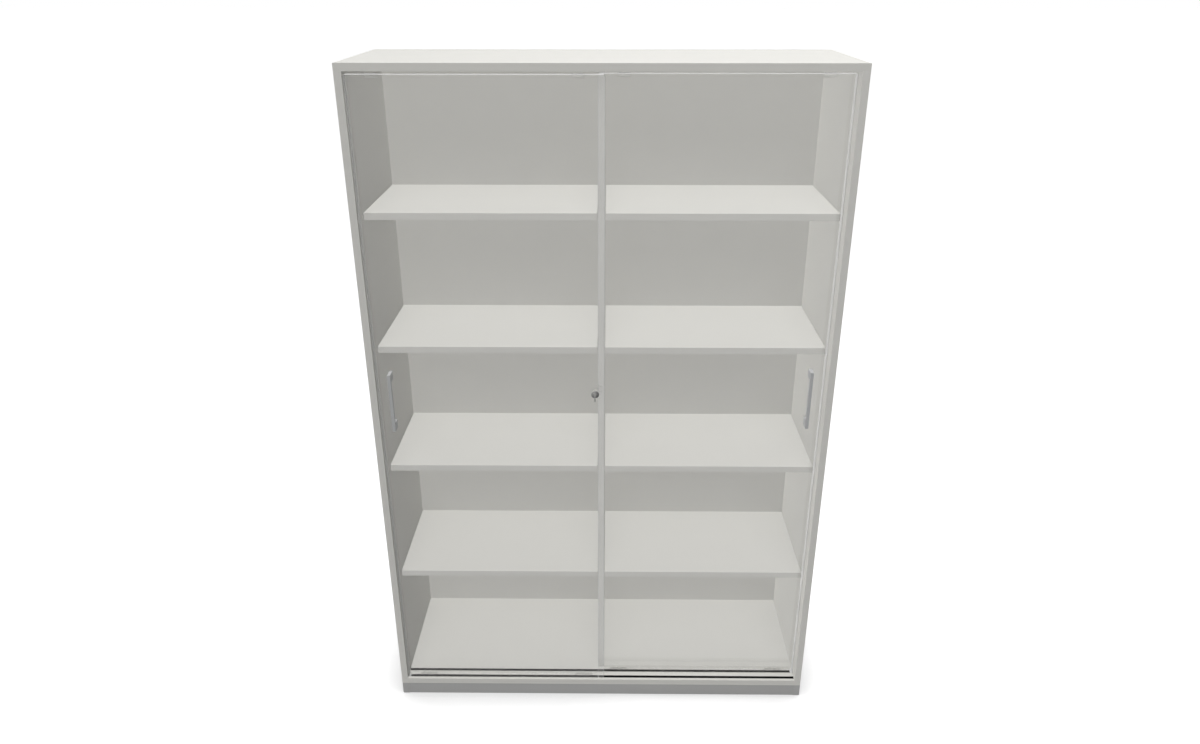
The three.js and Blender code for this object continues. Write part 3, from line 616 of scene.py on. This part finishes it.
def lock_barrel(finish, x, z):
    """Barrel that is pushed in: a rounded face with a countersink round the plug, and a collar."""
    low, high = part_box("lock_barrel")
    front, back = low.y / MM, high.y / MM
    collar = (high.x - low.x) / 2 / MM
    plug_bore, neck, neck_long = 4.8, 6.4, 10.3
    sink_wide, sink_deep, round_wide, round_deep = 0.25, 0.4, 1.2, 1.3
    floor_thick, floor_gap = 3.0, 0.3
    floor = back - floor_thick + floor_gap
    profile = [
        (plug_bore, front + sink_deep),
        (plug_bore + sink_wide, front),
        *rim(neck, front, round_wide, round_deep),
        (neck, front + neck_long),
        (collar, front + neck_long),
        (collar, back),
        (0, back),
        (0, floor),
        (plug_bore, floor),
        (plug_bore, front + sink_deep),
    ]
    piece = turned("push_lock_barrel", profile, x, z)
    finish_piece(piece, finish, "lock_barrel", "barrel", TURNED_EDGE)


def lock_plug(finish, x, z):
    """Plug that the key turns, with the keyway cut into its face."""
    low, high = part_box("lock_plug")
    radius = (high.x - low.x) / 2 / MM
    front, back = low.y / MM, high.y / MM
    round_wide, round_deep = 0.4, 0.3
    keyway_wide, keyway_high, past_tip = millimetres(2.6, 6.6, 0.3)
    profile = [(0, front), *rim(radius, front, round_wide, round_deep), (radius, back), (0, back)]
    piece = turned("push_lock_plug", profile, x, z)
    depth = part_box("lock_key")[1].y - low.y + past_tip
    cutter = alone(bpy.ops.mesh.primitive_cube_add, "keyway", size=1, location=(x, low.y, z),
                   scale=(keyway_wide, 2 * depth, keyway_high))
    combine(piece, cutter, "DIFFERENCE")
    finish_piece(piece, finish, "lock_plug", "plug", CUT_EDGE)


# Bow of the key and its blade, in mm: border, slope and depth of the sunk sides
BOW_SINK = (1.6, 0.25, 0.3)
BLADE_SINK = (1.9, 0.2, 0.45)
# V notches of the key, cut with a square bar: place along the blade, half width and depth in mm
KEY_NOTCHES = ((0.5, 1.5, 1.4), (0.66, 1.2, 0.9), (0.8, 1.5, 1.6))
# Share of the bow's radius where the blade starts inside it
BLADE_START = 0.75


def lock_key(finish, x, z):
    """Flat steel key: a round bow with a sunk face and a hole, and a notched blade with a milled
    groove along each side."""
    low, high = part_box("lock_key")
    bow_radius = (high.z - low.z) / 2
    thick, hole_radius, hole_place, blade_high = millimetres(2.0, 2.4, 5.4, 6.0)
    through = 3 * thick
    bow_y = low.y + bow_radius
    sideways = (0, math.pi / 2, 0)
    piece = alone(bpy.ops.mesh.primitive_cylinder_add, "push_lock_key", vertices=ROUND_SIDES,
                  radius=bow_radius, depth=thick, location=(x, bow_y, z), rotation=sideways)
    bpy.ops.object.transform_apply(location=True, rotation=True, scale=True)
    sink_sides(piece, *BOW_SINK)
    hole = alone(bpy.ops.mesh.primitive_cylinder_add, "key_hole", vertices=ROUND_SIDES // 2,
                 radius=hole_radius, depth=through, location=(x, bow_y - hole_place, z),
                 rotation=sideways)
    combine(piece, hole, "DIFFERENCE")
    blade_low = bow_y + bow_radius * BLADE_START
    length = high.y - blade_low
    blade = alone(bpy.ops.mesh.primitive_cube_add, "key_blade", size=1,
                  location=(x, blade_low + length / 2, z), scale=(thick, length, blade_high))
    bpy.ops.object.transform_apply(location=True, rotation=True, scale=True)
    sink_sides(blade, *BLADE_SINK)
    for share, wide, deep in KEY_NOTCHES:
        place = (x, blade_low + share * length, z - blade_high / 2 + (deep - wide) * MM)
        notch = alone(bpy.ops.mesh.primitive_cylinder_add, "key_notch", vertices=4,
                      radius=wide * MM, depth=through, rotation=sideways, location=place)
        combine(blade, notch, "DIFFERENCE")
    combine(piece, blade, "UNION")
    finish_piece(piece, finish, "lock_key", "key", CUT_EDGE)


def strike_screws(finish):
    """Countersunk screws with a cross recess that hold the strike plate: one and its copy."""
    low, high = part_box("strike_screw_1")
    length = (high.x - low.x) / MM
    head, head_long, core, tip_long = (high.z - low.z) / 2 / MM, 1.5, 1.5, 1.5
    thread_start, thread_apart, thread_deep, plain = 1.8, 0.45, 0.3, 3.5
    recess_size = millimetres(0.6, 1.8, 3.0)
    threads = [(core - thread_deep * (i % 2), thread_start + thread_apart * i)
               for i in range(int((length - plain) / thread_apart))]
    profile = [(0, 0), (head, 0), (core, head_long), *threads, (core, length - tip_long),
               (0, length)]
    first = turned("cross_strike_screw_1", profile, 0, 0)
    for turn in (0, math.pi / 2):
        recess = alone(bpy.ops.mesh.primitive_cube_add, "recess", size=1, location=(0, 0, 0),
                       scale=recess_size, rotation=(0, turn, 0))
        combine(first, recess, "DIFFERENCE")
    second = first.copy()
    second.data = first.data.copy()
    second.name = "cross_strike_screw_2"
    scene.collection.objects.link(second)
    for piece, name in ((first, "strike_screw_1"), (second, "strike_screw_2")):
        low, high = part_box(name)
        piece.rotation_euler = (0, 0, -math.pi / 2)
        piece.location = (low.x, (low.y + high.y) / 2, (low.z + high.z) / 2)
        finish_piece(piece, finish, name, "right_door", SCREW_EDGE)


# Broken edges of the CAD boards and handles, by material slot, in mm
BROKEN_EDGES = {"white_melamine": 0.5, "plinth_laminate": 0.5, "silver_lacquer": 0.4}
JOIN_REACH = 0.005 * MM
FLAT_UNDER = math.radians(0.2)
SHARP_BOARD_EDGE = math.radians(50)


def break_edges():
    """Breaks the edges of the CAD solids: loose triangles are joined and merged flat first."""
    for name, piece in frame["nodes"].items():
        if SLOTS[name] not in BROKEN_EDGES:
            continue
        weld = piece.modifiers.new("join", "WELD")
        weld.merge_threshold = JOIN_REACH
        flat = piece.modifiers.new("flat", "DECIMATE")
        flat.decimate_type = "DISSOLVE"
        flat.angle_limit = FLAT_UNDER
        bevel_edges(piece, BROKEN_EDGES[SLOTS[name]], SHARP_BOARD_EDGE)


def dress():
    """Gives each CAD node the finish of its material slot, adds the pieces that replace nodes, and
    gives the lock's spring a mesh of its own."""
    finishes = {
        "white_melamine": melamine_board("white_melamine_board"),
        "plinth_laminate": plinth_laminate(),
        # The right door's outer sawn edge gets a painted light tone
        "clear_acrylic": clear_acrylic("clear_cast_acrylic", "FBFBFA"),
        "black_plastic": track_plastic(),
        "clear_polycarbonate": clear_polycarbonate(),
        "silver_lacquer": silver_lacquer(),
        "nickel_plated_steel": satin_nickel("satin_nickel_plate", "5E5E5E", "A2A2A0"),
        "zinc_plated_steel": zinc_plate(),
    }
    side_board = melamine_board("white_melamine_side", -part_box("side_panel_left")[0].x - BOARD, -1)
    # The left door's outer edge gets painted shade: it is drawn darker than the right door's, whose
    # outer edge gets painted light
    special = {
        "side_panel_left": side_board,
        "side_panel_right": side_board,
        "divider": melamine_board("white_melamine_divider", BOARD / 2, 1),
        "door_left": clear_acrylic("clear_cast_acrylic_left", "D6D6D5"),
    }
    for name, piece in frame["nodes"].items():
        for slot in piece.material_slots:
            slot.material = special.get(name, finishes[SLOTS[name]])
        # The photograph shows no mirror image of the handles in the doors
        if SLOTS[name] == "silver_lacquer":
            piece.visible_glossy = False
    low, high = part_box("lock_sleeve")
    x, z = (low.x + high.x) / 2, (low.z + high.z) / 2
    # The nickel lock parts carry a painted highlight at the upper left and painted shade at the
    # lower right
    lock_sleeve(satin_nickel("satin_nickel_sleeve", "5E5E5E", "A2A2A0", "C4C3BE"), x, z)
    lock_barrel(finishes["nickel_plated_steel"], x, z)
    lock_plug(finishes["nickel_plated_steel"], x, z)
    lock_key(satin_nickel("satin_nickel_key", "505050", "B4B4B2"), x, z)
    strike_screws(finishes["zinc_plated_steel"])
    low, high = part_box("lock_spring")
    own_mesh(frame["nodes"]["lock_spring"])


scene.view_settings.view_transform = "Standard"
add_camera()
add_world()
add_suns()
add_lamps_above()
add_floor()
break_edges()
dress()
